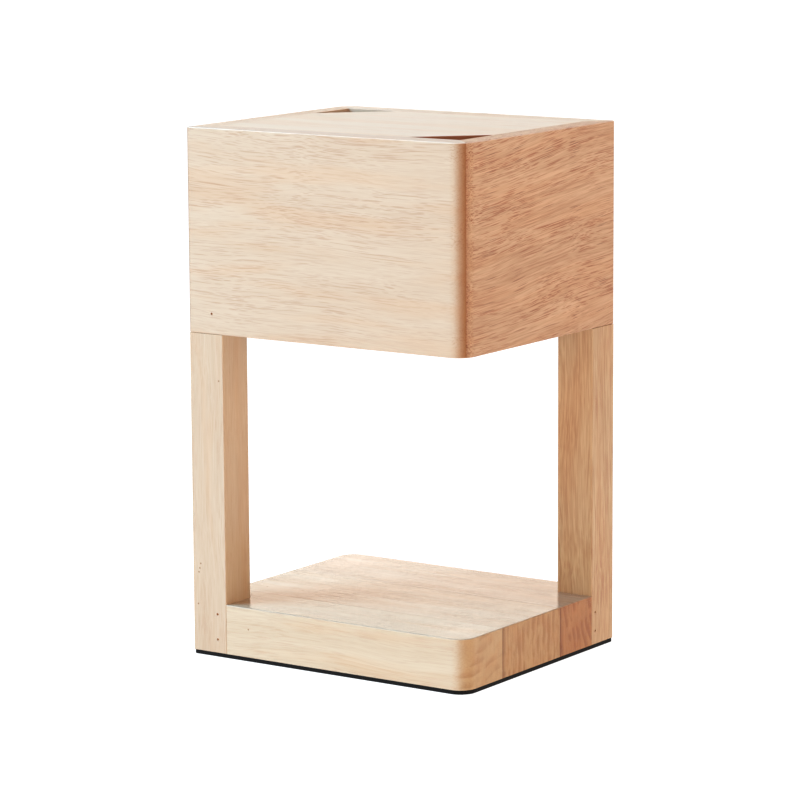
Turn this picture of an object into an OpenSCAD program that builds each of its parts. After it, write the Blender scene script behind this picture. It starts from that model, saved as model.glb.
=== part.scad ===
// Umbrella stand: a mitred wooden box held up by two diagonal posts that stand in an
// edge-glued slab. Umbrellas drop through two corner openings in the top and rest on the slab.
// The origin is the centre of the footprint at the underside of the rubber pad, +Z is up,
// and the front faces -Y. Sizes are in millimetres.

/* [Overall] */
// Width of the stand, along X
stand_w = 240; // [220:1:300]
// Depth of the stand, along Y
stand_d = 200; // [190:1:260]
// Height of the stand, from the floor to its top
stand_h = 390; // [340:1:500]
// Radius of the two rounded upright corners, front right and back left
corner_r = 12.5; // [6:0.5:15]

/* [Box] */
// Height of the box walls
box_h = 150; // [120:1:180]
// Thickness of the front and the back wall
front_wall_t = 19; // [16:0.5:20]
// Thickness of the left and the right wall
side_wall_t = 16; // [14:0.5:16]
// Thickness of the top panel
top_t = 15; // [13:1:18]
// Short side of each triangular umbrella opening, along the wall
opening_leg = 45; // [35:1:60]

/* [Posts] */
// Width of the square posts
post_w = 30; // [28:1:36]

/* [Base] */
// Thickness of the rubber pad
pad_t = 3; // [2:0.5:5]
// Height of the slab's top above the floor
slab_top = 40; // [36:1:45]
// Width of the slab's front board
front_stave_w = 48; // [44:0.5:60]
// Width of the slab's middle board
middle_stave_w = 77.5; // [60:0.5:85]

/* [Brads] */
// Diameter of a brad's shank
brad_d = 1.4; // [1:0.1:1.6]
// Diameter of a brad's head and of the hole that it sinks into
brad_head_d = 1.8; // [1.7:0.1:2.4]
// Depth of a brad's head below the wood's surface
brad_sink = 0.8; // [0.4:0.1:1.5]
// Length of the brads that join a post to the slab
foot_brad_len = 45; // [40:1:46]
// Length of the brads that join a box wall to a post's tongue
box_brad_len = 25; // [21:1:26]

/* [Cleats] */
// Width and height of the cleats under the top panel
cleat_w = 15; // [13:1:18]
// Length of the cleat screws
screw_len = 24; // [20:1:24]
// Diameter of a cleat screw's shank
screw_d = 3.5; // [3:0.5:4]
// Diameter of a cleat screw's head
screw_head_d = 7; // [6:0.5:8]

/* [Hidden] */
$fn = 64;
half_w = stand_w / 2;
half_d = stand_d / 2;
box_bottom = stand_h - box_h;
top_bottom = stand_h - top_t;
inner_w = half_w - side_wall_t;
inner_d = half_d - front_wall_t;
// The walls meet in mitres. At a sharp corner the mitre ends on the corner. At a rounded one it
// is a true 45 degrees, so the thicker wall's end lies this far round the corner.
mitre_step = front_wall_t - side_wall_t;

// Brad places. A brad in a front or back face is measured from the post's outer upright edge.
front_brad_inset = 22;
front_brad_z = [13, 32];
right_brad_inset = 25;
right_brad_z = [13, 27];
hidden_brad_z = [9, 22];
box_brad_inset = 20.5;
box_brad_z = box_bottom + 15;
brad_head_h = 1;

// Cleats run from just past a post's tongue to just short of the umbrella opening.
cleat_gap = 4;
cleat_x0 = -half_w + post_w + cleat_gap;
cleat_x1 = inner_w - opening_leg - cleat_gap;
cleat_y = -inner_d;
wall_screw_at = [0.1, 0.5, 0.9];
top_screw_at = [0.3, 0.7];
screw_head_h = 2.6;
screw_slot_w = 0.9;

pale_wood = "burlywood";
shaded_wood = "tan";
end_wood = "peru";
post_wood = "navajowhite";

// ---- Outlines ----

// Plan outline of the stand, rounded at the front-right and the back-left corner.
module footprint() {
    r = corner_r;
    polygon([
        [-half_w, -half_d], [half_w - r, -half_d], [half_w, -half_d + r],
        [half_w, half_d], [r - half_w, half_d], [-half_w, half_d - r]
    ]);
    for (side = [1, -1])
        translate([side * (half_w - r), -side * (half_d - r)]) circle(r = r);
}

// A box wall with this plan, trimmed to the footprint.
module wall(plan) {
    translate([0, 0, box_bottom]) linear_extrude(box_h) intersection() {
        footprint();
        polygon(plan);
    }
}

// Puts its children in place and again turned half round, as most of the stand repeats.
module both_ends() {
    children();
    rotate([0, 0, 180]) children();
}

// ---- Brads ----

// A brad that enters along +Z from the wood's surface at Z = 0.
module brad(len) {
    translate([0, 0, brad_sink]) cylinder(h = brad_head_h, d = brad_head_d);
    translate([0, 0, brad_sink + brad_head_h]) cylinder(h = len - brad_head_h, d = brad_d);
}

// The hole of that brad, open at the surface.
module brad_hole(len) {
    translate([0, 0, -1]) cylinder(h = 1 + brad_sink + brad_head_h, d = brad_head_d);
    cylinder(h = brad_sink + len, d = brad_d);
}

// Children enter the front face of the front-left post, and its left face.
module at_front_left_foot() {
    for (z = front_brad_z)
        translate([-half_w + front_brad_inset, -half_d, z]) rotate([-90, 0, 0]) children();
    for (z = hidden_brad_z)
        translate([-half_w, -half_d + right_brad_inset, z]) rotate([0, 90, 0]) children();
}

// Children enter the right face of the back-right post, and its back face.
module at_back_right_foot() {
    for (z = right_brad_z)
        translate([half_w, half_d - right_brad_inset, z]) rotate([0, -90, 0]) children();
    for (z = hidden_brad_z)
        translate([half_w - front_brad_inset, half_d, z]) rotate([90, 0, 0]) children();
}

// Children enter the front panel over the front-left post's tongue.
module at_box_brad() {
    translate([-half_w + box_brad_inset, -half_d, box_brad_z]) rotate([-90, 0, 0]) children();
}

// ---- Cleat screws ----

// A countersunk screw that enters along +Z from the cleat's surface at Z = 0.
module screw() {
    difference() {
        union() {
            cylinder(h = screw_head_h, d1 = screw_head_d, d2 = screw_d);
            cylinder(h = screw_len, d = screw_d);
        }
        for (turn = [0, 90])
            rotate([0, 0, turn])
                translate([-screw_d / 2, -screw_slot_w / 2, -1]) cube([screw_d, screw_slot_w, 2.5]);
    }
}

module screw_hole() {
    cylinder(h = screw_head_h, d1 = screw_head_d, d2 = screw_d);
    translate([0, 0, -1]) cylinder(h = 1 + screw_len, d = screw_d);
}

// Children enter the front cleat towards the front panel.
module at_wall_screws() {
    for (at = wall_screw_at)
        translate([cleat_x0 + at * (cleat_x1 - cleat_x0), cleat_y + cleat_w, top_bottom - cleat_w / 2])
            rotate([90, 0, 0]) children();
}

// Children enter the front cleat from below, towards the top panel.
module at_top_screws() {
    for (at = top_screw_at)
        translate([cleat_x0 + at * (cleat_x1 - cleat_x0), cleat_y + cleat_w / 2, top_bottom - cleat_w])
            children();
}

// ---- Box ----

module front_panel() {
    color(pale_wood) difference() {
        wall([
            [-half_w, -half_d], [half_w, -half_d], [half_w, -half_d + mitre_step],
            [inner_w, -inner_d], [-inner_w, -inner_d]
        ]);
        at_box_brad() brad_hole(box_brad_len);
        at_wall_screws() screw_hole();
    }
}

module right_panel() {
    color(shaded_wood)
        wall([[half_w, -half_d + mitre_step], [half_w, half_d], [inner_w, inner_d], [inner_w, -inner_d]]);
}

module back_panel() {
    color(pale_wood) rotate([0, 0, 180]) front_panel();
}

module left_panel() {
    color(shaded_wood) rotate([0, 0, 180]) right_panel();
}

// Board let in flush between the walls, with two corners cut off to make the openings.
module top_panel() {
    x = inner_w;
    y = inner_d;
    leg = opening_leg;
    color(pale_wood) difference() {
        translate([0, 0, top_bottom]) linear_extrude(top_t)
            polygon([[-x, -y], [x - leg, -y], [x, -y + leg], [x, y], [leg - x, y], [-x, y - leg]]);
        both_ends() at_top_screws() screw_hole();
    }
}

// ---- Posts ----

// A square post at the front-left corner, with a tongue that stands in the box's corner.
module post() {
    translate([-half_w, -half_d, pad_t]) cube([post_w, post_w, box_bottom - pad_t]);
    translate([-inner_w, -inner_d, pad_t])
        cube([post_w - side_wall_t, post_w - front_wall_t, top_bottom - pad_t]);
}

module front_left_post() {
    color(post_wood) difference() {
        post();
        at_front_left_foot() brad_hole(foot_brad_len);
        at_box_brad() brad_hole(box_brad_len);
    }
}

module back_right_post() {
    color(post_wood) difference() {
        rotate([0, 0, 180]) post();
        at_back_right_foot() brad_hole(foot_brad_len);
        rotate([0, 0, 180]) at_box_brad() brad_hole(box_brad_len);
    }
}

// ---- Base ----

// One board of the slab, from y0 to y1, cut away round the posts and their brads.
module base_stave(y0, y1) {
    difference() {
        translate([0, 0, pad_t]) linear_extrude(slab_top - pad_t) difference() {
            intersection() {
                footprint();
                translate([-half_w, y0]) square([stand_w, y1 - y0]);
            }
            both_ends() translate([-half_w - 1, -half_d - 1]) square(post_w + 1);
        }
        at_front_left_foot() brad_hole(foot_brad_len);
        at_back_right_foot() brad_hole(foot_brad_len);
    }
}

module front_base_stave() {
    color(pale_wood) base_stave(-half_d, -half_d + front_stave_w);
}

module middle_base_stave() {
    color(end_wood) base_stave(-half_d + front_stave_w, -half_d + front_stave_w + middle_stave_w);
}

module rear_base_stave() {
    color(shaded_wood) base_stave(-half_d + front_stave_w + middle_stave_w, half_d);
}

module base_pad() {
    color("black") linear_extrude(pad_t) footprint();
}

// ---- Fasteners and cleats ----

module front_left_foot_brads() {
    color("saddlebrown") at_front_left_foot() brad(foot_brad_len);
}

module back_right_foot_brads() {
    color("saddlebrown") at_back_right_foot() brad(foot_brad_len);
}

module box_brads() {
    color("saddlebrown") both_ends() at_box_brad() brad(box_brad_len);
}

module front_top_cleat() {
    color(post_wood) difference() {
        translate([cleat_x0, cleat_y, top_bottom - cleat_w]) cube([cleat_x1 - cleat_x0, cleat_w, cleat_w]);
        at_wall_screws() screw_hole();
        at_top_screws() screw_hole();
    }
}

module back_top_cleat() {
    color(post_wood) rotate([0, 0, 180]) front_top_cleat();
}

module cleat_wall_screws() {
    color("silver") both_ends() at_wall_screws() screw();
}

module cleat_top_screws() {
    color("silver") both_ends() at_top_screws() screw();
}

// ---- Nodes ----

front_panel();
right_panel();
back_panel();
left_panel();
top_panel();
front_left_post();
back_right_post();
front_base_stave();
middle_base_stave();
rear_base_stave();
base_pad();
front_left_foot_brads();
back_right_foot_brads();
box_brads();
front_top_cleat();
back_top_cleat();
cleat_wall_screws();
cleat_top_screws();
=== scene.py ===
"""The looks of the umbrella stand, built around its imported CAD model.

Every board is remade with softened edges and a solid wood pattern of its own. Lengths are in
metres, in the CAD model's frame: +Z is up and the front faces -Y.
"""

import math
from dataclasses import dataclass

import bmesh
import bpy
from mathutils import Euler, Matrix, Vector


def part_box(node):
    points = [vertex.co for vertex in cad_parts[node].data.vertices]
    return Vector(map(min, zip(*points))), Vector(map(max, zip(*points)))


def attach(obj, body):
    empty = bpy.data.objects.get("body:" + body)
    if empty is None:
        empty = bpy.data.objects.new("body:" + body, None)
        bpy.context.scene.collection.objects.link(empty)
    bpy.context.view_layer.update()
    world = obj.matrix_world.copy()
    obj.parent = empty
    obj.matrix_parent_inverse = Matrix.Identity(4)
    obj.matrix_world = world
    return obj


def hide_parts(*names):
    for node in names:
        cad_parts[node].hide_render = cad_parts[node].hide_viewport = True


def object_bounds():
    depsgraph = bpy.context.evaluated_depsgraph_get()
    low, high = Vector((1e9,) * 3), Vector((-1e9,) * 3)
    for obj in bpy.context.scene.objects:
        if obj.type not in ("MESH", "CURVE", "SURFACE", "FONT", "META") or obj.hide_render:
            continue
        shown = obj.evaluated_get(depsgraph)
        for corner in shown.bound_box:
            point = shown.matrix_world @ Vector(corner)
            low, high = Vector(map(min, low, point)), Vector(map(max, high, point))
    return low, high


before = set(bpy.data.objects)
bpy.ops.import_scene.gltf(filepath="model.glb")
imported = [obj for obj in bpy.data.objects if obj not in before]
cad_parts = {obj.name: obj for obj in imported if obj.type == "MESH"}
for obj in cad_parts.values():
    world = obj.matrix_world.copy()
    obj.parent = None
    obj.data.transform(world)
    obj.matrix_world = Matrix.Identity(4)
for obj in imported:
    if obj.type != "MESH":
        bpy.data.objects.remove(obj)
cad_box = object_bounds()

MM = 0.001
TINY = 0.01 * MM

# ---- Sizes read from the CAD model ----

HALF_W, HALF_D, TOP = cad_box[1]
BOX_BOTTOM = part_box("front_panel")[0].z
INNER_D = -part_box("front_panel")[1].y
INNER_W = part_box("right_panel")[0].x
TOP_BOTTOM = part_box("top_panel")[0].z
POST_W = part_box("front_left_post")[1].x + HALF_W
PAD_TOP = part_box("base_pad")[1].z
SLAB_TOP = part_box("middle_base_stave")[1].z
FRONT_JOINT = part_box("middle_base_stave")[0].y
REAR_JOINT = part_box("middle_base_stave")[1].y


def reach_along_front(node, y):
    """The highest X that a CAD node reaches on its side at y."""
    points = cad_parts[node].data.vertices
    return max(p.co.x for p in points if p.co.y < y + TINY)


CORNER_R = HALF_W - reach_along_front("front_base_stave", -HALF_D)
OPENING_LEG = INNER_W - reach_along_front("top_panel", -INNER_D)

# ---- Sizes of the finish ----

ARRIS = 0.8 * MM  # softening of an edge that shows
TOP_ARRIS = 0.3 * MM  # of the top panel's edges, which are crisp at the openings
PAD_ARRIS = 0.5 * MM
JOINT_SHARE = 0.22  # softening of an edge in a joint, as a share of the others
JOINT_REACH = 1 * MM  # how far from an edge another board is looked for
ARRIS_STEPS = 3
SOFTENED_ANGLE = math.radians(30)  # edges that turn more than this are softened
SHARP_ANGLE = math.radians(35)  # edges that turn more than this are shaded as edges
BOX_CORNER_R = 1.4 * MM  # rounding of the two square corners
PAD_CORNER_R = 2.5 * MM
ROUND_STEPS = 24
SMALL_ROUND_STEPS = 4
PIT_R = 0.9 * MM  # of the pits that the brads are sunk in
PIT_DEPTH = 1.6 * MM
PIT_SIDES = 20

# Brads, as in the CAD model: distances from the post's outer upright edge, and heights.
FRONT_BRAD_INSET = 22 * MM
RIGHT_BRAD_INSET = 25 * MM
FRONT_BRAD_HEIGHTS = (13 * MM, 32 * MM)
RIGHT_BRAD_HEIGHTS = (13 * MM, 27 * MM)
HIDDEN_BRAD_HEIGHTS = (9 * MM, 22 * MM)
BOX_BRAD_INSET = 20.5 * MM
BOX_BRAD_HEIGHT = BOX_BOTTOM + 15 * MM

# ---- Camera ----

SENSOR_WIDTH = 36
LENS = 164.9
CAMERA_PLACE = (1.4985, -2.1935, 0.6377)
CAMERA_TURN = (34.391, 9.642, -0.328)  # degrees round from the front, downwards, and of roll
FAR_CLIP = 100


def make_camera():
    """The photograph's view: a long lens from the front right, a little above the top."""
    camera = bpy.data.objects.new("camera", bpy.data.cameras.new("camera"))
    bpy.context.scene.collection.objects.link(camera)
    camera.data.sensor_width = SENSOR_WIDTH
    camera.data.lens = LENS
    camera.data.clip_end = FAR_CLIP
    azimuth, down, roll = (math.radians(a) for a in CAMERA_TURN)
    aim = Euler((math.pi / 2 - down, 0, azimuth)).to_matrix()
    camera.matrix_world = (aim @ Euler((0, 0, roll)).to_matrix()).to_4x4()
    camera.location = CAMERA_PLACE
    bpy.context.scene.camera = camera


make_camera()

# ---- Plan outlines ----
# An outline is a list of plan points, counter-clockwise.


def arc(centre, radius, start, steps):
    """A quarter turn from the angle start, in degrees."""
    angles = [math.radians(start + 90 * i / steps) for i in range(steps + 1)]
    return [centre + radius * Vector((math.cos(a), math.sin(a))) for a in angles]


def footprint(small_radius):
    """The stand's outline: front right and back left well rounded, the others by small_radius."""
    points = []
    for x, y, start in ((1, -1, -90), (1, 1, 0), (-1, 1, 90), (-1, -1, 180)):
        radius, steps = (CORNER_R, ROUND_STEPS) if x != y else (small_radius, SMALL_ROUND_STEPS)
        centre = Vector((x * (HALF_W - radius), y * (HALF_D - radius)))
        points += arc(centre, radius, start, steps)
    return points


def clip(outline, a, b):
    """What a convex outline keeps to the left of the line from a to b."""
    a, b = Vector(a), Vector(b)
    right = Vector((b.y - a.y, a.x - b.x)).normalized()
    kept = []
    for p, q in zip(outline, outline[1:] + outline[:1]):
        from_p, from_q = (p - a).dot(right), (q - a).dot(right)
        if from_p <= TINY:
            kept.append(p)
        if min(from_p, from_q) < -TINY and max(from_p, from_q) > TINY:
            kept.append(p.lerp(q, from_p / (from_p - from_q)))
    return kept


def turned(outline):
    """An outline turned half round about the stand's middle."""
    return [-p for p in outline]


def square_corner_middle():
    """The middle of the small rounding at the back-right corner, where the mitre comes out."""
    inset = BOX_CORNER_R * (1 - math.sqrt(0.5))
    return Vector((HALF_W - inset, HALF_D - inset))


def front_wall():
    """The front wall's plan. Its mitre is a true 45 degrees at the rounded corner only."""
    rounded, square = Vector((INNER_W, -INNER_D)), Vector((-INNER_W, -INNER_D))
    plan = clip(footprint(BOX_CORNER_R), (HALF_W, -INNER_D), (-HALF_W, -INNER_D))
    plan = clip(plan, rounded + Vector((1, -1)), rounded)
    return clip(plan, square, -square_corner_middle())


def right_wall():
    """The right wall's plan, between the same two kinds of mitre."""
    rounded, square = Vector((INNER_W, -INNER_D)), Vector((INNER_W, INNER_D))
    plan = clip(footprint(BOX_CORNER_R), (INNER_W, HALF_D), (INNER_W, -HALF_D))
    plan = clip(plan, rounded, rounded + Vector((1, -1)))
    return clip(plan, square_corner_middle(), square)


def top_plan():
    """The top panel's plan, with the front-right and back-left corners cut off."""
    x, y, leg = INNER_W, INNER_D, OPENING_LEG
    half = [Vector((-x, -y)), Vector((x - leg, -y)), Vector((x, leg - y))]
    return half + turned(half)


def stave(y0, y1):
    """A slab board's plan from y0 to y1, before a post's notch is cut."""
    plan = clip(footprint(BOX_CORNER_R), (-HALF_W, y0), (HALF_W, y0))
    return clip(plan, (HALF_W, y1), (-HALF_W, y1))


def notched(outline):
    """An outline with the front-left post's square taken out of its corner."""
    x, y = POST_W - HALF_W, POST_W - HALF_D
    outside = [i for i, p in enumerate(outline) if p.x > x or p.y > y]
    after = next(i for i in outside if (i - 1) % len(outline) not in outside)
    ring = outline[after:] + outline[:after]
    kept = [p for p in ring if p.x > x or p.y > y]
    return kept + [Vector((-HALF_W, y)), Vector((x, y)), Vector((x, -HALF_D))]


# ---- Solids ----


def prism(outline, bottom, top):
    """A bmesh of an outline between two heights."""
    bm = bmesh.new()
    rings = [[bm.verts.new((*p, z)) for p in outline] for z in (bottom, top)]
    bm.faces.new(rings[0][::-1])
    bm.faces.new(rings[1])
    for i, low in enumerate(rings[0]):
        j = (i + 1) % len(outline)
        bm.faces.new((low, rings[0][j], rings[1][j], rings[1][i]))
    return bm


def post_solid():
    """The front-left post: a square foot with a tongue that goes on up inside the box."""
    x0, y0 = -HALF_W, -HALF_D
    x1, y1 = x0 + POST_W, y0 + POST_W
    tongue = [Vector(p) for p in ((-INNER_W, -INNER_D), (x1, -INNER_D), (x1, y1), (-INNER_W, y1))]
    foot = [Vector((x0, y0)), Vector((x1, y0)), *tongue[1:], Vector((x0, y1))]
    bm = prism(foot, PAD_TOP, BOX_BOTTOM)
    bm.faces.ensure_lookup_table()
    shoulder = bm.faces[1]
    low = {tuple(round(c / TINY) for c in v.co.xy): v for v in shoulder.verts}
    bm.faces.remove(shoulder)

    def at(p):
        """The shoulder's vertex at p, a new one if the foot has none there."""
        key = tuple(round(c / TINY) for c in p)
        if key not in low:
            low[key] = bm.verts.new((*p, BOX_BOTTOM))
        return low[key]

    bm.faces.new([at(p) for p in (foot[0], foot[1], tongue[1], tongue[0], tongue[3], foot[5])])
    high = [bm.verts.new((*p, TOP_BOTTOM)) for p in tongue]
    bm.faces.new(high)
    for i in range(4):
        j = (i + 1) % 4
        bm.faces.new((at(tongue[i]), at(tongue[j]), high[j], high[i]))
    return bm


def turned_solid(bm):
    """A bmesh turned half round about the stand's middle."""
    for v in bm.verts:
        v.co.xy = -v.co.xy
    return bm


# ---- Finished boards ----

BOARD_NODES = (
    "front_panel", "right_panel", "back_panel", "left_panel", "top_panel", "front_left_post",
    "back_right_post", "front_base_stave", "middle_base_stave", "rear_base_stave", "base_pad",
)
BOARD_BOXES = {name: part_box(name) for name in BOARD_NODES}


def in_another(point, node):
    """Whether a point lies in the box of a CAD board other than node."""
    for other, (low, high) in BOARD_BOXES.items():
        inside = all(low[i] - TINY <= point[i] <= high[i] + TINY for i in range(3))
        if inside and other != node:
            return True
    return False


def in_joint(edge, node):
    """Whether one of an edge's faces lies against another board.

    A panel's horizontal faces are left out, since only the ends of the posts touch them.
    """
    middle = (edge.verts[0].co + edge.verts[1].co) / 2
    faces = [f for f in edge.link_faces if "panel" not in node or abs(f.normal.z) < 0.5]
    return any(in_another(middle + JOINT_REACH * face.normal, node) for face in faces)


def make_piece(name, bm):
    """A piece with a bmesh as its mesh. The bmesh is freed."""
    mesh = bpy.data.meshes.new(name)
    bm.to_mesh(mesh)
    bm.free()
    piece = bpy.data.objects.new(name, mesh)
    bpy.context.scene.collection.objects.link(piece)
    return piece


def final_mesh(piece):
    """Gives a piece the mesh that its modifiers make, and removes them."""
    graph = bpy.context.evaluated_depsgraph_get()
    mesh = bpy.data.meshes.new_from_object(piece.evaluated_get(graph))
    piece.modifiers.clear()
    piece.data = mesh


def soften(piece, node, arris):
    """Rounds a piece's edges: well where they show, slightly where they meet another board."""
    bm = bmesh.new()
    bm.from_mesh(piece.data)
    bm.normal_update()
    weights = bm.edges.layers.float.new("bevel_weight_edge")
    for edge in bm.edges:
        if edge.calc_face_angle(0) > SOFTENED_ANGLE:
            edge[weights] = JOINT_SHARE if in_joint(edge, node) else 1
    bm.to_mesh(piece.data)
    bm.free()
    bevel = piece.modifiers.new("arris", "BEVEL")
    bevel.limit_method = "WEIGHT"
    bevel.width = arris
    bevel.segments = ARRIS_STEPS
    bevel.use_clamp_overlap = False
    final_mesh(piece)
    for v in piece.data.vertices:
        v.co.x = max(-HALF_W, min(HALF_W, v.co.x))
        v.co.y = max(-HALF_D, min(HALF_D, v.co.y))


def pit_cutter(mouth, way_in):
    """A round bar that cuts a brad pit."""
    size = {"segments": PIT_SIDES, "radius1": PIT_R, "radius2": PIT_R, "depth": 2 * PIT_DEPTH}
    bm = bmesh.new()
    bmesh.ops.create_cone(bm, cap_ends=True, **size)
    cutter = make_piece("cutter", bm)
    cutter.rotation_euler = Vector(way_in).to_track_quat("Z", "Y").to_euler()
    cutter.location = mouth
    return cutter


def drill(piece, pits):
    """Sinks brad pits into a piece. A pit is its mouth's centre and the way in."""
    cutters = [pit_cutter(mouth, way_in) for mouth, way_in in pits]
    for cutter in cutters:
        cut = piece.modifiers.new("pit", "BOOLEAN")
        cut.object = cutter
        cut.solver = "EXACT"
    bpy.context.view_layer.update()
    final_mesh(piece)
    for cutter in cutters:
        bpy.data.objects.remove(cutter)


def shade(piece):
    """Smooth rounded edges beside flat faces."""
    piece.data.shade_smooth()
    piece.data.set_sharp_from_angle(angle=SHARP_ANGLE)
    weigh = piece.modifiers.new("flat_faces", "WEIGHTED_NORMAL")
    weigh.keep_sharp = True
    final_mesh(piece)


def board(node, solid, material, pits=(), arris=ARRIS):
    """A finished board in the place of its CAD node."""
    piece = make_piece(node + "_board", solid)
    soften(piece, node, arris)
    if pits:
        drill(piece, pits)
    shade(piece)
    piece.data.materials.clear()
    piece.data.materials.append(material)
    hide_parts(node)
    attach(piece, "root")


# ---- Shader nodes ----


def add_node(tree, kind, inputs=(), **settings):
    """Adds a node. inputs maps a socket's name or number to a value or to another socket."""
    made = tree.nodes.new(kind)
    for name, value in settings.items():
        setattr(made, name, value)
    for name, value in dict(inputs).items():
        if isinstance(value, bpy.types.NodeSocket):
            tree.links.new(value, made.inputs[name])
        else:
            made.inputs[name].default_value = value
    return made


def maths(tree, operation, a, b=0.0, c=0.0):
    """The result of a Math node."""
    return add_node(tree, "ShaderNodeMath", {0: a, 1: b, 2: c}, operation=operation).outputs[0]


def vector_maths(tree, operation, *inputs, result="Vector"):
    """The result of a Vector Math node."""
    inputs = dict(enumerate(inputs))
    return add_node(tree, "ShaderNodeVectorMath", inputs, operation=operation).outputs[result]


def ramp(tree, value, low, high, to_low=0.0, to_high=1.0):
    """value mapped smoothly from low..high to to_low..to_high, and held outside."""
    inputs = {0: value, 1: low, 2: high, 3: to_low, 4: to_high}
    made = add_node(tree, "ShaderNodeMapRange", inputs, interpolation_type="SMOOTHSTEP")
    return made.outputs[0]


def blend(tree, factor, a, b, how="MIX"):
    """Colour a with b over it."""
    made = add_node(tree, "ShaderNodeMix", data_type="RGBA", blend_type=how)
    tree.links.new(factor, made.inputs[0])
    for socket, colour in ((made.inputs[6], a), (made.inputs[7], b)):
        if isinstance(colour, bpy.types.NodeSocket):
            tree.links.new(colour, socket)
        else:
            socket.default_value = (*colour, 1)
    return made.outputs[2]


def scaled(tree, at, factors, offset=(0, 0, 0)):
    """A vector times factors, plus an offset."""
    return vector_maths(tree, "MULTIPLY_ADD", at, factors, offset)


def noise(tree, at, pattern, offset=(0, 0, 0)):
    """A noise value, around 0.5. A pattern is its repeats in a metre, detail and roughness."""
    repeats, detail, roughness = pattern
    place = scaled(tree, at, repeats, offset)
    inputs = {"Vector": place, "Scale": 1.0, "Detail": detail, "Roughness": roughness}
    return add_node(tree, "ShaderNodeTexNoise", inputs).outputs["Fac"]


def swing(tree, value, amount):
    """A noise value's swing about its middle, times amount."""
    return maths(tree, "MULTIPLY", maths(tree, "SUBTRACT", value, 0.5), amount)


def object_place(tree):
    """Where a point of the surface is, in its object's coordinates, which are the CAD frame's."""
    return add_node(tree, "ShaderNodeTexCoord").outputs["Object"]


def components(tree, vector):
    """A vector's three components, by the names X, Y and Z."""
    return add_node(tree, "ShaderNodeSeparateXYZ", {0: vector}).outputs


def facing(tree, axis):
    """How far a surface faces along an axis, -1 to 1."""
    return components(tree, add_node(tree, "ShaderNodeNewGeometry").outputs["Normal"])[axis]


def new_material(name):
    """A material, its tree and its shader, ready for colours."""
    material = bpy.data.materials.new(name)
    material.use_nodes = True
    tree = material.node_tree
    return material, tree, tree.nodes["Principled BSDF"]


def finish_shader(tree, shader, colour, roughness, relief, strength, distance):
    """Links a shader's colour and roughness, and a bump of the height relief."""
    tree.links.new(colour, shader.inputs["Base Color"])
    tree.links.new(roughness, shader.inputs["Roughness"])
    inputs = {"Strength": strength, "Distance": distance, "Height": relief}
    bump = add_node(tree, "ShaderNodeBump", inputs)
    tree.links.new(bump.outputs[0], shader.inputs["Normal"])


# ---- Wood ----

# For each grain axis, the object axes that run along, across and through the grain.
AXES = {"X": ("X", "Y", "Z"), "Y": ("Y", "Z", "X"), "Z": ("Z", "X", "Y")}

# Noise patterns in the wood: repeats in a metre along, across and through the grain, then the
# noise's detail and roughness.
BENDS = ((8, 15, 15), 1.5, 0.35)
BANDS = ((5, 60, 60), 2.0, 0.55)
STREAKS = ((15, 700, 700), 1.0, 0.6)
FIBRES = ((40, 1700, 1700), 1.0, 0.5)
RING_WAVES = ((3, 40, 40), 1.0, 0.5)
RING_GAPS = ((3, 70, 70), 1.0, 0.5)
RAYS = ((3, 420, 60), 1.5, 0.6)
BLUSH = ((8, 75, 75), 2.0, 0.5)
FINE_MARKS = ((28, 1300, 1300), 1.0, 0.4)
BUSYNESS = ((9, 50, 50), 2.0, 0.5)

PORE_LENGTH = 26 * MM
PORE_PITCH = 0.75 * MM
STROKE_STRETCH = (0.7, 1, 1)  # strokes are pores stretched along the grain
GLUE_LINE = 1.2 * MM
GLUE_STAIN = 6 * MM  # how far the darkening beside a glue line reaches
SPOT_R = 0.7 * MM

# Tints that multiply the wood's colour.
BLUSH_TINT = (1.0, 0.93, 0.87)
MARK_TINT = (0.60, 0.28, 0.15)
STROKE_TINT = (0.50, 0.30, 0.22)
GLUE_TINT = (0.50, 0.36, 0.26)
SPOT_TINT = (0.50, 0.28, 0.16)

# How far end grain darkens a board: a little on the slab, and far more on the box. The top
# panel's cut edges are darkened further still, as painted shade inside the openings.
SLAB_ENDS = (0.86, 0.74, 0.60)
WALL_ENDS = (0.62, 0.34, 0.15)
TOP_ENDS_AND_SHADE = (0.62, 0.20, 0.055)

# Painted highlight: the pale colour that the softened top edges are blended toward, standing in
# for the light they catch.
EDGE_HIGHLIGHT_COLOUR = (1.0, 0.90, 0.79)
SANDED_ROUGHNESS = 0.35
BOX_EDGE_HIGHLIGHT = 0.38  # how strongly the painted highlight pales the softened top edges of the box
SLAB_EDGE_HIGHLIGHT = 0.12  # and of the slab
BOX_ROUGHNESS = 0.36

# Small natural marks in the wood, in mm: a short crack and spots in a post, spots in the slab.
FRONT_LEFT_POST_SPOTS = (
    (-114.6, -100, 62), (-113.8, -100, 65), (-112.9, -100, 68.5), (-115.6, -100, 38),
    (-94, -100, 206),
)
FRONT_STAVE_SPOTS = ((-70, -100, 24),)
MIDDLE_STAVE_SPOTS = ((-101.4, -33.6, 40), (-71.2, -29.6, 40))


@dataclass
class Wood:
    """One board's wood: its grain, its two tones, and how strongly each feature shows."""

    grain: str  # the axis that the grain runs along
    seed: float
    pale: tuple
    deep: tuple
    slope: tuple = (0.0, 0.0)  # how far the grain runs off its axis, across and through
    sway: float = 0.012  # how far the grain bends
    bands: float = 0.8  # broad bands of tone
    lines: float = 0.5  # thin lines of tone
    marks: float = 0.4  # fine marks and pores
    strokes: float = 0.0  # long dark strokes
    heart: tuple = (0.3, 0.2)  # where the growth rings' middle is, across and through
    ring_pitch: float = 0.007
    rings: float = 0.0
    end_streaks: float = 0.9  # streaks of tone on end grain
    ends: tuple = SLAB_ENDS
    glued_at: float | None = None  # Y of a glue line that shows on end grain
    side_shade: tuple | None = None  # an axis, and the tint of painted shade on the faces across it
    spots: tuple = ()
    # how strongly a painted highlight pales the softened top edges
    edge_highlight: float = 0.0
    roughness: float = 0.16


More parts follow.
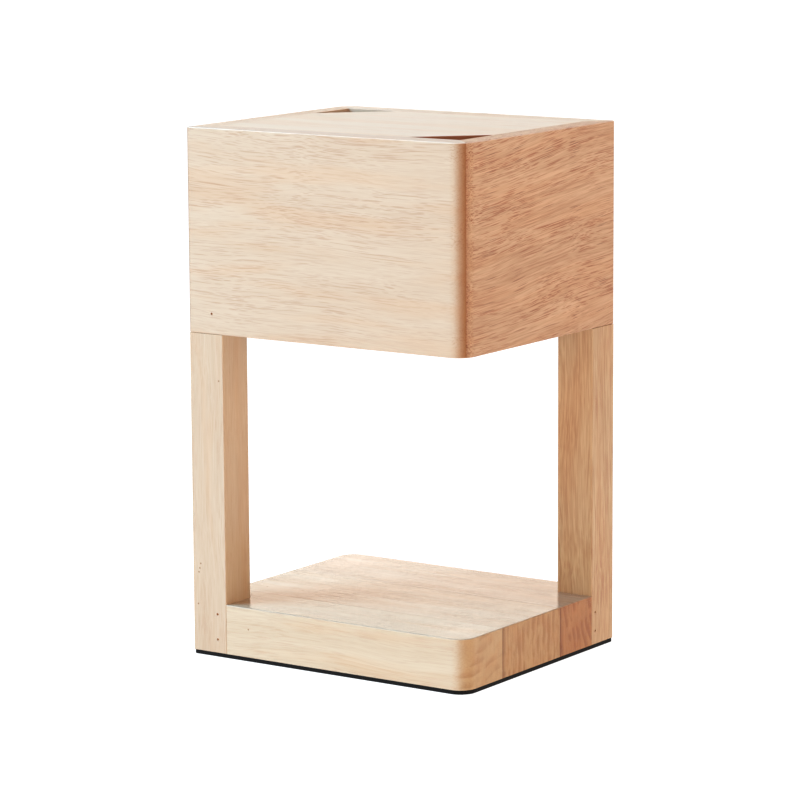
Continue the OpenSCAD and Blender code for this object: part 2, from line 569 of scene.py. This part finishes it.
def grain_space(tree, look):
    """Coordinates with X along the grain, bent a little, as real grain is."""
    parts = components(tree, object_place(tree))
    axes = [parts[a] for a in AXES[look.grain]]
    straight = add_node(tree, "ShaderNodeCombineXYZ", dict(enumerate(axes))).outputs[0]
    bends = []
    for i, tilt in enumerate(look.slope):
        wave = noise(tree, straight, BENDS, (look.seed, look.seed + 7 * i, 3))
        bends.append(maths(tree, "MULTIPLY_ADD", axes[0], tilt, swing(tree, wave, look.sway)))
    shift = add_node(tree, "ShaderNodeCombineXYZ", {1: bends[0], 2: bends[1]}).outputs[0]
    return vector_maths(tree, "ADD", straight, shift)


def growth_rings(tree, at, look):
    """0 to 1 across each growth ring, about a line along the grain through the heart."""
    across, through = look.heart
    centred = scaled(tree, at, (0, 1, 1), (0, -across, -through))
    radius = vector_maths(tree, "LENGTH", centred, result="Value")
    turns = maths(tree, "DIVIDE", radius, look.ring_pitch)
    phase = maths(tree, "MULTIPLY_ADD", noise(tree, at, RING_WAVES), 1.3, turns)
    ring = maths(tree, "FRACT", phase)
    late = maths(tree, "MULTIPLY", ramp(tree, ring, 0.1, 0.85), ramp(tree, ring, 0.85, 1, 1, 0))
    shown = ramp(tree, noise(tree, at, RING_GAPS, (9, 9, 9)), 0.40, 0.62)
    return maths(tree, "MULTIPLY", late, shown)


def pores(tree, at, seed, amount):
    """0 to 1 in short thin dashes along the grain."""
    repeats = (1 / PORE_LENGTH, 1 / PORE_PITCH, 1 / PORE_PITCH)
    cells = scaled(tree, at, repeats, (seed, seed, seed))
    inputs = {"Vector": cells, "Scale": 1.0, "Randomness": 1.0}
    cell = add_node(tree, "ShaderNodeTexVoronoi", inputs).outputs
    chance = add_node(tree, "ShaderNodeSeparateColor", {0: cell["Color"]}).outputs[0]
    dash = ramp(tree, cell["Distance"], 0.17, 0.31, 1.0, 0.0)
    return maths(tree, "MULTIPLY", dash, ramp(tree, chance, 1 - amount, 1.1 - amount))


def small_marks(tree, at, seed):
    """0 to 1 in fine marks and pores, which crowd in some places and thin out in others."""
    fine = ramp(tree, noise(tree, at, FINE_MARKS, (seed, seed, 0)), 0.57, 0.68, 0.0, 0.75)
    dashes = maths(tree, "MAXIMUM", pores(tree, at, seed, 0.7), pores(tree, at, seed + 0.4, 0.7))
    busy = ramp(tree, noise(tree, at, BUSYNESS, (seed, seed, 0)), 0.38, 0.6, 0.35, 1.0)
    return maths(tree, "MULTIPLY", maths(tree, "MAXIMUM", fine, dashes), busy)


def glue_line(tree, y):
    """1 in the glue joint at a slab board's edge at y, 0 away from it."""
    across = components(tree, object_place(tree))["Y"]
    distance = maths(tree, "ABSOLUTE", maths(tree, "SUBTRACT", across, y))
    line = ramp(tree, distance, 0.2 * GLUE_LINE, 1.8 * GLUE_LINE, 1.0, 0.0)
    return maths(tree, "MAXIMUM", line, ramp(tree, distance, 0.0, GLUE_STAIN, 0.5, 0.0))


def spots(tree, places):
    """1 in small spots at places on a board's faces, 0 away from them."""
    here = object_place(tree)
    total = 0.0
    for place in places:
        middle = tuple(c * MM for c in place)
        distance = vector_maths(tree, "DISTANCE", here, middle, result="Value")
        spot = ramp(tree, distance, 0.3 * SPOT_R, 1.4 * SPOT_R, 1.0, 0.0)
        total = maths(tree, "MAXIMUM", total, spot)
    return total


def tone(tree, at, look, ends, streaks, fibres):
    """How far the wood is from its pale tone to its deep one. ends is 1 on end grain."""
    bands = noise(tree, at, BANDS, (look.seed, 0, 0))
    depth = maths(tree, "ADD", swing(tree, bands, look.bands), swing(tree, streaks, look.lines))
    depth = maths(tree, "ADD", depth, swing(tree, fibres, look.lines))
    rings = maths(tree, "SUBTRACT", growth_rings(tree, at, look), 0.25)
    shown = ramp(tree, ends, 0.0, 1.0, 0.15 * look.rings, look.rings)
    depth = maths(tree, "ADD", depth, maths(tree, "MULTIPLY", rings, shown))
    rays = swing(tree, noise(tree, at, RAYS, (look.seed, 0, 0)), look.end_streaks)
    depth = maths(tree, "ADD", depth, maths(tree, "MULTIPLY", ends, rays))
    return maths(tree, "ADD", depth, 0.45)


def tints(tree, at, look, ends, marks):
    """The tints over the wood's tone, from the lowest up, each after how much of it shows."""
    blush = ramp(tree, noise(tree, at, BLUSH, (0, 0, look.seed)), 0.42, 0.68)
    layers = [(maths(tree, "MULTIPLY", blush, 0.8), BLUSH_TINT)]
    layers.append((maths(tree, "MULTIPLY", marks, look.marks), MARK_TINT))
    if look.strokes:
        dark = pores(tree, scaled(tree, at, STROKE_STRETCH), look.seed + 0.8, 0.22)
        layers.append((maths(tree, "MULTIPLY", dark, look.strokes), STROKE_TINT))
    # end-grain darkening; on the top panel it also paints the shade inside the openings
    layers.append((ends, look.ends))
    if look.glued_at is not None:
        glue = maths(tree, "MULTIPLY", glue_line(tree, look.glued_at), ends)
        layers.append((glue, GLUE_TINT))
    # Painted shade: the faces across the axis are tinted darker and warmer, as on a post's shaded
    # sides.
    if look.side_shade is not None:
        axis, tint = look.side_shade
        turned_to_it = maths(tree, "ABSOLUTE", facing(tree, axis))
        layers.append((ramp(tree, turned_to_it, 0.3, 0.9), tint))
    if look.spots:
        layers.append((maths(tree, "MULTIPLY", spots(tree, look.spots), 0.8), SPOT_TINT))
    return layers


def wood(name, look):
    """Fine-pored pale wood, whose softened top edges are rougher and carry a painted highlight.
    """
    material, tree, shader = new_material(name)
    at = grain_space(tree, look)
    ends = ramp(tree, maths(tree, "ABSOLUTE", facing(tree, look.grain)), 0.22, 0.88)
    streaks = noise(tree, at, STREAKS, (0, look.seed, 0))
    fibres = noise(tree, at, FIBRES, (look.seed, 0, look.seed))
    marks = small_marks(tree, at, look.seed)
    up = facing(tree, "Z")
    upturned_edges = maths(tree, "MULTIPLY", ramp(tree, up, 0.15, 0.45), ramp(tree, up, 0.75, 0.98, 1, 0))

    colour = blend(tree, tone(tree, at, look, ends, streaks, fibres), look.pale, look.deep)
    for amount, tint in tints(tree, at, look, ends, marks):
        colour = blend(tree, amount, colour, tint, "MULTIPLY")
    # painted highlight: the softened top edges are paled toward a light colour
    colour = blend(tree, maths(tree, "MULTIPLY", upturned_edges, look.edge_highlight), colour, EDGE_HIGHLIGHT_COLOUR)

    rough = maths(tree, "MULTIPLY_ADD", marks, 0.10, look.roughness)
    rough = maths(tree, "MULTIPLY_ADD", fibres, 0.10, rough)
    rough = maths(tree, "MULTIPLY_ADD", upturned_edges, SANDED_ROUGHNESS, rough)
    relief = maths(tree, "MULTIPLY_ADD", marks, -0.8, maths(tree, "MULTIPLY", streaks, 0.5))
    finish_shader(tree, shader, colour, rough, relief, strength=0.3, distance=0.06 * MM)
    return material


# ---- Rubber and metal ----

RUBBER_SKIN = ((1400, 1400, 1400), 3.0, 0.5)
RUBBER_CLOUDS = ((40, 40, 40), 2.0, 0.5)
METAL_BLOTCHES = ((900, 900, 900), 3.0, 0.5)


def rubber(name):
    """Black sheet rubber with a fine matt skin."""
    material, tree, shader = new_material(name)
    shader.inputs["Specular IOR Level"].default_value = 0.3
    place = object_place(tree)
    skin = noise(tree, place, RUBBER_SKIN)
    clouds = noise(tree, place, RUBBER_CLOUDS)
    depth = maths(tree, "MULTIPLY_ADD", clouds, 0.4, maths(tree, "MULTIPLY", skin, 0.6))
    colour = blend(tree, depth, (0.004, 0.003, 0.003), (0.011, 0.009, 0.008))
    rough = ramp(tree, skin, 0.2, 0.8, 0.6, 0.8)
    finish_shader(tree, shader, colour, rough, skin, strength=0.4, distance=0.1 * MM)
    return material


def metal(name, dark, light, roughness, bareness):
    """Steel with faint blotches. bareness is how much metal shows through its finish."""
    material, tree, shader = new_material(name)
    shader.inputs["Metallic"].default_value = bareness
    blotches = noise(tree, object_place(tree), METAL_BLOTCHES)
    tree.links.new(blend(tree, blotches, dark, light), shader.inputs["Base Color"])
    spread = ramp(tree, blotches, 0.3, 0.7, roughness - 0.08, roughness + 0.08)
    tree.links.new(spread, shader.inputs["Roughness"])
    return material


# ---- Box ----


def turned_pits(pits):
    """Pits turned half round about the stand's middle."""
    return [((-m[0], -m[1], m[2]), (-w[0], -w[1], w[2])) for m, w in pits]


def box_board(name, outline, bottom, pits=(), arris=ARRIS, ends=WALL_ENDS, **traits):
    """A board of the box. traits are what makes its wood its own."""
    look = Wood(ends=ends, edge_highlight=BOX_EDGE_HIGHLIGHT, roughness=BOX_ROUGHNESS, **traits)
    slot = name + "_wood"
    board(name, prism(outline, bottom, TOP), wood(slot, look), pits, arris)


def make_box():
    """The four walls and the top panel."""
    pit = [((BOX_BRAD_INSET - HALF_W, -HALF_D, BOX_BRAD_HEIGHT), (0, 1, 0))]
    box_board(
        "front_panel", front_wall(), BOX_BOTTOM, pit,
        grain="X", seed=1.3, pale=(0.675, 0.545, 0.42), deep=(0.57, 0.405, 0.28),
        slope=(0, 0.025), bands=0.6, marks=0.38,
    )
    # The right wall's deeper, warmer tones are partly its own wood and partly painted shade, for
    # its side turned away from the key light.
    box_board(
        "right_panel", right_wall(), BOX_BOTTOM,
        grain="Y", seed=2.9, pale=(0.66, 0.435, 0.275), deep=(0.46, 0.25, 0.135),
        slope=(-0.085, 0), sway=0.013, lines=1.2, marks=1.0, strokes=1.0,
    )
    box_board(
        "back_panel", turned(front_wall()), BOX_BOTTOM, turned_pits(pit),
        grain="X", seed=4.1, pale=(0.71, 0.57, 0.43), deep=(0.59, 0.42, 0.28), slope=(0, 0.02),
    )
    box_board(
        "left_panel", turned(right_wall()), BOX_BOTTOM,
        grain="Y", seed=5.7, pale=(0.71, 0.54, 0.39), deep=(0.58, 0.40, 0.26), slope=(-0.03, 0),
    )
    box_board(
        # its cut edges are darkened as end grain and also as painted shade in the openings
        "top_panel", top_plan(), TOP_BOTTOM, arris=TOP_ARRIS, ends=TOP_ENDS_AND_SHADE,
        grain="X", seed=7.2, pale=(0.71, 0.58, 0.44), deep=(0.64, 0.48, 0.34),
        bands=0.5, lines=0.3, marks=0.1,
    )


# ---- Posts ----


def front_left_foot_pits():
    """The brad pits in the front-left post: in its front face, then in its left face."""
    front = [((FRONT_BRAD_INSET - HALF_W, -HALF_D, z), (0, 1, 0)) for z in FRONT_BRAD_HEIGHTS]
    left = [((-HALF_W, RIGHT_BRAD_INSET - HALF_D, z), (1, 0, 0)) for z in HIDDEN_BRAD_HEIGHTS]
    return front + left


def back_right_foot_pits():
    """The brad pits in the back-right post: in its right face, then in its back face."""
    right = [((HALF_W, HALF_D - RIGHT_BRAD_INSET, z), (-1, 0, 0)) for z in RIGHT_BRAD_HEIGHTS]
    back = [((HALF_W - FRONT_BRAD_INSET, HALF_D, z), (0, -1, 0)) for z in HIDDEN_BRAD_HEIGHTS]
    return right + back


def make_posts():
    """The two uprights."""
    front = Wood(
        grain="Z", seed=8.8, pale=(0.67, 0.53, 0.40), deep=(0.56, 0.395, 0.265), marks=0.3,
        # painted shade: the faces across X are tinted darker and warmer
        side_shade=("X", (1.0, 0.94, 0.84)), spots=FRONT_LEFT_POST_SPOTS,
    )
    back = Wood(
        grain="Z", seed=9.4, pale=(0.655, 0.475, 0.295), deep=(0.50, 0.30, 0.16), lines=1.4,
        # painted shade: the front and back faces are tinted darker and warmer
        marks=0.7, side_shade=("Y", (1.0, 0.95, 0.90)),
    )
    posts = (
        ("front_left_post", post_solid(), front, front_left_foot_pits()),
        ("back_right_post", turned_solid(post_solid()), back, back_right_foot_pits()),
    )
    for name, solid, look, pits in posts:
        slot = name + "_wood"
        board(name, solid, wood(slot, look), pits)


# ---- Base ----


def make_slab():
    """The slab's three boards."""
    front = Wood(
        grain="X", seed=11.1, pale=(0.71, 0.59, 0.45), deep=(0.60, 0.45, 0.31), marks=0.3,
        heart=(-0.092, 0.085), ring_pitch=0.008, rings=0.8, ends=(0.81, 0.64, 0.45),
        spots=FRONT_STAVE_SPOTS, edge_highlight=SLAB_EDGE_HIGHLIGHT,
    )
    middle = Wood(
        grain="X", seed=12.6, pale=(0.75, 0.61, 0.47), deep=(0.60, 0.41, 0.27), bands=1.2,
        marks=0.3, heart=(0.22, 0.03), rings=1.0, end_streaks=2.2, ends=(0.71, 0.53, 0.33),
        glued_at=FRONT_JOINT, spots=MIDDLE_STAVE_SPOTS, edge_highlight=SLAB_EDGE_HIGHLIGHT,
    )
    rear = Wood(
        grain="X", seed=14.2, pale=(0.75, 0.59, 0.46), deep=(0.59, 0.39, 0.26), bands=1.2,
        marks=0.3, heart=(0.25, 0.084), rings=1.2, end_streaks=1.5, ends=(0.64, 0.385, 0.19),
        glued_at=REAR_JOINT, edge_highlight=SLAB_EDGE_HIGHLIGHT,
    )
    staves = (
        ("front", notched(stave(-HALF_D, FRONT_JOINT)), front),
        ("middle", stave(FRONT_JOINT, REAR_JOINT), middle),
        ("rear", turned(notched(turned(stave(REAR_JOINT, HALF_D)))), rear),
    )
    for place, plan, look in staves:
        slot = f"{place}_stave_wood"
        board(f"{place}_base_stave", prism(plan, PAD_TOP, SLAB_TOP), wood(slot, look))


def make_pad():
    """The rubber pad under the slab and the posts."""
    pad = prism(footprint(PAD_CORNER_R), 0, PAD_TOP)
    board("base_pad", pad, rubber("black_rubber"), arris=PAD_ARRIS)


# ---- Brads, cleats and screws ----


def dress(node_name, material):
    """Gives a carried-over CAD node its material."""
    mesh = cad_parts[node_name].data
    mesh.materials.clear()
    mesh.materials.append(material)


def dress_cad_nodes():
    """Materials for the brads, and for the cleats and screws inside the box."""
    sawn_look = Wood(grain="X", seed=17.5, pale=(0.72, 0.53, 0.37), deep=(0.60, 0.39, 0.25))
    brown = metal("brown_steel", (0.42, 0.17, 0.07), (0.60, 0.28, 0.13), 0.6, 0.2)
    zinc = metal("zinc_steel", (0.52, 0.53, 0.55), (0.66, 0.66, 0.67), 0.35, 1.0)
    sawn = wood("cleat_wood", sawn_look)
    for name in ("front_left_foot_brads", "back_right_foot_brads", "box_brads"):
        dress(name, brown)
    for name in ("cleat_wall_screws", "cleat_top_screws"):
        dress(name, zinc)
    for name in ("front_top_cleat", "back_top_cleat"):
        dress(name, sawn)


# ---- Studio ----

FLOOR_SIDES = 64
FLOOR_PROFILE = ((7.0, 0.0), (8.0, 0.15), (8.7, 0.6), (9.0, 1.4), (9.0, 2.5))  # radius, height
FLOOR_COLOUR, FLOOR_GLOW = (1.0, 1.0, 1.0), 1.0
WALL_COLOUR, WALL_GLOW = (1.0, 0.87, 0.75), 2.5
ROOM_COLOUR, ROOM_GLOW = (1.0, 0.75, 0.55), 0.25
GAMMA = 0.77


def glowing(name, colour, radiance):
    """A plain surface that is lit and also shines, so that no shadow greys it."""
    material, _, shader = new_material(name)
    shader.inputs["Base Color"].default_value = (0.2, 0.2, 0.2, 1)
    shader.inputs["Roughness"].default_value = 1.0
    shader.inputs["Specular IOR Level"].default_value = 0.0
    shader.inputs["Emission Color"].default_value = (*colour, 1)
    shader.inputs["Emission Strength"].default_value = radiance
    return material


def make_floor():
    """A pale floor that curves up into a low bright wall all round, far from the stand."""
    turns = [2 * math.pi * i / FLOOR_SIDES for i in range(FLOOR_SIDES)]
    bm = bmesh.new()
    rings = []
    for radius, height in FLOOR_PROFILE:
        points = [(radius * math.cos(t), radius * math.sin(t), height) for t in turns]
        rings.append([bm.verts.new(p) for p in points])
    bm.faces.new(rings[0])
    for low, high in zip(rings, rings[1:]):
        for i in range(FLOOR_SIDES):
            j = (i + 1) % FLOOR_SIDES
            bm.faces.new((low[i], low[j], high[j], high[i])).material_index = 1
    floor = make_piece("floor", bm)
    floor.data.materials.append(glowing("pale_floor", FLOOR_COLOUR, FLOOR_GLOW))
    floor.data.materials.append(glowing("bright_wall", WALL_COLOUR, WALL_GLOW))


def make_light(name, azimuth, elevation, distance, size, power, colour):
    """A square softbox aimed at the stand. Azimuth 0 is in front of it, and 90 to its right."""
    light = bpy.data.lights.new(name, "AREA")
    light.shape = "SQUARE"
    light.size = size
    light.energy = power
    light.color = colour
    lamp = bpy.data.objects.new(name, light)
    bpy.context.scene.collection.objects.link(lamp)
    a, e = math.radians(azimuth), math.radians(elevation)
    away = Vector((math.sin(a) * math.cos(e), -math.cos(a) * math.cos(e), math.sin(e)))
    middle = Vector((0, 0, TOP / 2))
    lamp.location = middle + distance * away
    lamp.rotation_euler = away.to_track_quat("Z", "Y").to_euler()


def make_lights():
    """A cool key light at the front left, and a small one straight above."""
    make_light(
        "key", azimuth=-48, elevation=35, distance=2.2, size=1.0, power=54,
        colour=(0.29, 0.66, 1.0),
    )
    make_light(
        "top_light", azimuth=0, elevation=90, distance=2.0, size=0.3, power=28,
        colour=(0.66, 0.77, 1.0),
    )


def make_world():
    """A dim warm room round the softboxes."""
    world = bpy.data.worlds.new("room")
    bpy.context.scene.world = world
    world.use_nodes = True
    background = world.node_tree.nodes["Background"]
    background.inputs["Color"].default_value = (*ROOM_COLOUR, 1)
    background.inputs["Strength"].default_value = ROOM_GLOW


make_box()
make_posts()
make_slab()
make_pad()
dress_cad_nodes()
make_floor()
make_lights()
make_world()
bpy.context.scene.view_settings.view_transform = "Standard"
bpy.context.scene.view_settings.gamma = GAMMA
